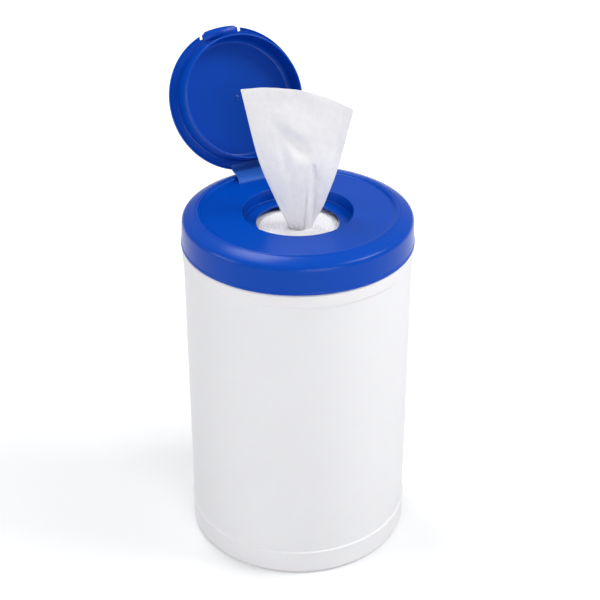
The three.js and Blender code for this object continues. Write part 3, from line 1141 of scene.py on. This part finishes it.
@dataclass
class DrawnWipe:
    """The wipe drawn up through the opening: a gathered throat that fans out to its cut edge.

    The shape is made from the flat cut. The front layer takes part of the width, and the rest lies
    in pleats in the layer behind it.
    """

    azimuth: float = 26.6
    thickness: float = 0.35
    tail_bottom: float = 148.4
    tail_radius: float = 8.2
    throat_z: float = 170.0
    throat_depth: float = 3.4
    top_depth: float = 1.7
    belly: float = 2.6
    bow: float = 5.2
    columns: int = 320
    rows: int = 120
    tail_share: float = 0.16
    front_share: float = 0.4
    pleats: int = 16
    pleat_limit: float = 0.86
    edge_drop: float = 2.0
    # how uneven the pleats are, in spacing and in depth, as in gathered cloth
    spread_slow: float = 0.022
    spread_fast: float = 0.012
    shallow: float = 0.1
    back_relief: float = 0.4
    ripple: float = 1.1
    # what is left of the height over the throat when the shut cap presses it down
    pressed_share: float = 0.28
    # the cut is a rectangle: the roll's height across, the drawn length along
    flat_width: float = 165.0
    flat_length: float = 102.0

    left_edge: ClassVar[list[Point]] = [
        (-3.6, 170.0), (-5.2, 176.0), (-8.8, 184.0), (-12.6, 193.2),
        (-17.0, 204.4), (-20.2, 216.0), (-24.0, 234.0), (-26.5, 245.9),
    ]
    right_edge: ClassVar[list[Point]] = [
        (5.6, 170.0), (7.7, 176.0), (11.9, 184.2), (14.8, 192.0),
        (18.2, 202.0), (20.9, 212.0), (24.2, 226.0), (26.3, 235.2),
    ]
    folds: ClassVar[list[Fold]] = [
        Fold((-14.5, 234.0), (5.6, 211.0), 2.9, 3.0, fade_in=0.75, fade_out=0.3),
        Fold((-9.5, 228.0), (-1.5, 190.0), 1.5, 2.4, fade_in=0.4, fade_out=0.5),
        Fold((7.4, 209.0), (8.6, 199.0), 1.7, 0.9, fade_in=0.3, fade_out=0.4),
        Fold((7.8, 206.0), (7.4, 176.0), 1.2, 2.0, fade_in=0.3, fade_out=0.3),
        Fold((-11.5, 194.0), (-1.0, 172.0), 1.3, 1.0, fade_in=0.5, fade_out=0.1),
        Fold((-4.0, 202.0), (0.8, 172.0), 0.9, 0.9, fade_in=0.6, fade_out=0.1),
        Fold((4.6, 200.0), (2.6, 172.0), 1.2, 0.7, fade_in=0.5, fade_out=0.1),
        Fold((11.2, 213.0), (6.4, 174.0), 0.8, 0.7, fade_in=0.4, fade_out=0.2),
        Fold((22.5, 236.0), (15.5, 196.0), 0.9, 2.0, fade_in=0.4, fade_out=0.5),
        Fold((-21.5, 226.0), (-13.0, 196.0), 0.7, 1.6, fade_in=0.4, fade_out=0.5),
    ]

    def relief(self, x: float, z: float) -> float:
        """Gives how far the front layer lies back of a plain fan.

        Args:
            x: Place across the wipe.
            z: Height.

        Returns:
            The depth of all folds together.
        """
        return sum(fold.depth_at(x, z) for fold in self.folds)

    def fan_point(self, angle: float, up: float) -> Vector:
        """Places a point of the fan.

        Args:
            angle: Place round the flattened fan; the front layer runs from -pi to 0.
            up: Height along the fan, 0 at the throat and 1 at the cut edge.

        Returns:
            The point in the upright plane that the wipe faces, in millimetres.
        """
        ax, az = follow(self.left_edge, up)
        bx, bz = follow(self.right_edge, up)
        across = math.cos(angle)
        x = (ax + bx) / 2 + (bx - ax) / 2 * across
        z = (az + bz) / 2 + (bz - az) / 2 * across + self.bow * up * (1 - across**2)
        depth = self.throat_depth + (self.top_depth - self.throat_depth) * up
        depth += self.belly * math.sin(math.pi * min(1.0, up * 1.1))
        y = depth * math.sin(angle)
        share = abs(math.sin(angle))
        if math.sin(angle) < 0:
            y += self.relief(x, z) * share**0.5
        else:
            y += self.back_relief * self.relief(x, z) * share
        place = Vector((x, z, 3.0)) * 0.09
        y += noise.noise(place) * 0.9 * share * up
        y += noise.noise(place * 3.1) * 0.22 * share
        y += self.ripple * math.sin(across * 2.2 + 0.4) * ease(up, 0.5, 1.0)
        if math.sin(angle) > 0:
            z -= self.edge_drop * share * up
        return Vector((x, y, z))

    def tail_point(self, angle: float, down: float) -> Vector:
        """Places a point of the tail, which widens from the throat into the roll's hollow.

        Args:
            angle: Place round the tail.
            down: 0 at its lower end and 1 at the throat.

        Returns:
            The point, in millimetres.
        """
        throat = self.fan_point(angle, 0.0)
        z = self.tail_bottom + (self.throat_z - self.tail_bottom) * down
        ring = Vector((self.tail_radius * math.cos(angle), self.tail_radius * math.sin(angle), z))
        throat.z = z + (throat.z - self.throat_z) * ease(down, 0.6, 1.0)
        return ring.lerp(throat, ease(down, 0.55, 1.0))

    def place(self, angle: float, along: float) -> Vector:
        """Places a point of the gathered outline, in the tail or in the fan.

        Args:
            angle: Place round the outline.
            along: Place along the cloth, 0 at the tail's end and 1 at the cut edge.

        Returns:
            The point, in millimetres.
        """
        if along < self.tail_share:
            return self.tail_point(angle, along / self.tail_share)
        return self.fan_point(angle, (along - self.tail_share) / (1 - self.tail_share))

    def cross_section(self, along: float, places: list[float]) -> list[Vector]:
        """Lays the flat width round the outline, and pleats what is left over into the back layer.

        The pleats are as deep as it takes to use the whole width, up to pleat_limit of the depth
        between the layers. In the throat and at the cut edge that limit leaves some width unused.

        Args:
            along: Place along the cloth, 0 at the tail's end and 1 at the cut edge.
            places: Places across the flat width, 0 to 1.

        Returns:
            One point for each place, in millimetres.
        """
        outer, inner, waves = [], [], []
        for across in places:
            back = max(0.0, (across - self.front_share) / (1 - self.front_share))
            angle = math.pi * (1 + across / self.front_share)
            if across >= self.front_share:
                angle = math.pi * (2 + back)
            outer.append(self.place(angle, along))
            inner.append(self.place(-angle, along))
            phase = back + self.spread_slow * math.sin(2 * math.tau * back)
            phase += self.spread_fast * math.sin(5 * math.tau * back)
            uneven = 1 - self.shallow + self.shallow * math.sin(3 * math.tau * back + 1.3)
            waves.append(uneven * (0.5 - 0.5 * math.cos(math.tau * self.pleats * phase)))
        low, high = 0.0, self.pleat_limit
        ring = outer
        for _ in range(10):
            depth = (low + high) / 2
            ring = [a.lerp(b, depth * wave) for a, b, wave in zip(outer, inner, waves)]
            if sum((b - a).length for a, b in zip(ring, ring[1:])) < self.flat_width:
                low = depth
            else:
                high = depth
        return ring

    def build(self, finish: Material) -> None:
        """Args:
            finish: Its material.
        """
        piece = grid("drawn_wipe_cloth", self.columns, self.rows)
        turn = Matrix.Rotation(-math.radians(self.azimuth), 3, "Z")
        across = sorted({round(vertex.co.x, 5) for vertex in piece.data.vertices})
        rows: dict[float, list[Vector]] = {}
        for vertex in piece.data.vertices:
            along = round(vertex.co.y, 5)
            if along not in rows:
                rows[along] = self.cross_section(along + 0.5, [x + 0.5 for x in across])
            point = rows[along][across.index(round(vertex.co.x, 5))]
            vertex.co = turn @ point * MM
        face_out(piece, weld=0.003 * MM)
        apply_modifier(piece, "SOLIDIFY", thickness=self.thickness * MM, offset=-1.0)
        smooth(piece, 60)
        dress(piece, finish)
        settle(piece, Body.CANISTER, Slot.WIPES, "drawn_wipe")
        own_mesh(piece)


# Studio


@dataclass
class Studio:
    """Floor, lamps, surroundings and camera."""

    pitch: float = 0.5205
    level: float = 618.24
    high: float = 485.94
    sideways: float = 1.06
    azimuth: float = 26.6
    lens: float = 83.84
    aim_height: float = 0.15
    room_light: float = 0.42

    # each softbox: where it hangs as the camera sees it, its side in metres and its power in watts
    softboxes: ClassVar[dict[str, tuple[Point3, float, float]]] = {
        "high_softbox": ((-0.3, 0.45, 1.3), 0.4, 5.0),
        "right_softbox": ((0.75, -0.05, 1.0), 0.45, 5.8),
        "front_softbox": ((0.45, -1.15, 0.45), 0.7, 5.8),
        "left_softbox": ((-1.05, -0.3, 0.5), 0.5, 3.6),
    }

    def camera(self) -> None:
        """Sets the camera where the photograph was taken from."""
        deselect()
        turn = -math.radians(self.azimuth)
        spot = Matrix.Rotation(turn, 3, "Z") @ Vector((self.sideways, -self.level, self.high)) * MM
        bpy.ops.object.camera_add(location=spot, rotation=(math.pi / 2 - self.pitch, 0, turn))
        camera = bpy.context.object
        camera.name = "photo_camera"
        camera.data.lens = self.lens
        camera.data.sensor_width = 36.0
        camera.data.clip_start = 0.05
        camera.data.clip_end = 20.0
        bpy.context.scene.camera = camera

    def floor(self) -> None:
        """Lays the white paper that the pot stands on."""
        deselect()
        bpy.ops.mesh.primitive_plane_add(size=6.0)
        paper = bpy.context.object
        paper.name = "studio_paper"
        dress(paper, StudioFloor().build())

    def lamp(self, name: str, spot: Point3, size: float, power: float) -> None:
        """Hangs a square softbox that faces the lid.

        Args:
            name: The lamp's name.
            spot: Where it hangs as the camera sees it: right, away and up, in metres.
            size: Its side, in metres.
            power: Its power in watts.
        """
        deselect()
        turn = Matrix.Rotation(-math.radians(self.azimuth), 3, "Z")
        place = turn @ Vector(spot)
        aim = Vector((0, 0, self.aim_height)) - place
        facing = aim.to_track_quat("-Z", "Y").to_euler()
        bpy.ops.object.light_add(type="AREA", location=place, rotation=facing)
        light = bpy.context.object
        light.name = name
        light.data.energy = power
        light.data.size = size

    def lamps(self) -> None:
        """Hangs the softboxes."""
        for name, (spot, size, power) in self.softboxes.items():
            self.lamp(name, spot, size, power)

    def surroundings(self) -> None:
        """Lights the room evenly, and shows white where there is no paper."""
        world = bpy.data.worlds.new("studio_room")
        bpy.context.scene.world = world
        world.use_nodes = True
        tree = world.node_tree
        tree.nodes.clear()
        path = add_node(tree, "ShaderNodeLightPath")
        strength = add_node(
            tree,
            "ShaderNodeMapRange",
            inputs={"Value": path.outputs["Is Camera Ray"], "To Min": self.room_light},
        )
        background = add_node(
            tree,
            "ShaderNodeBackground",
            inputs={"Color": (1.0, 1.0, 1.0, 1.0), "Strength": strength.outputs["Result"]},
        )
        surface = background.outputs["Background"]
        add_node(tree, "ShaderNodeOutputWorld", inputs={"Surface": surface})

    def build(self) -> None:
        """Sets the whole studio up."""
        self.camera()
        self.floor()
        self.lamps()
        self.surroundings()
        bpy.context.scene.view_settings.view_transform = "Standard"


def main() -> None:
    """Loads the frame, builds the studio and each piece in order, and logs each settled piece's
    face count.
    """
    logging.basicConfig(level=logging.INFO, format="%(message)s")
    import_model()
    Studio().build()
    blue = BluePolypropylene().build()
    # the strap is paler than the cap: bent polypropylene whitens a little, and the rest is a
    # painted highlight for the gloss on its upper face
    flexed_with_painted_highlight = BluePolypropylene(
        name="polypropylene_flexed_blue_painted_highlight",
        colour="#3C70CC",
        deep_colour="#2259B8",
        roughness=0.26,
    )
    white = WhitePolyethylene().build()
    cloth = SpunlaceNonwoven().build()
    Pot().build(white)
    Roll().build(cloth)
    Lid().build(blue)
    FlipCap().build(blue, flexed_with_painted_highlight.build())
    DrawnWipe().build(cloth)


if __name__ == "__main__":
    main()
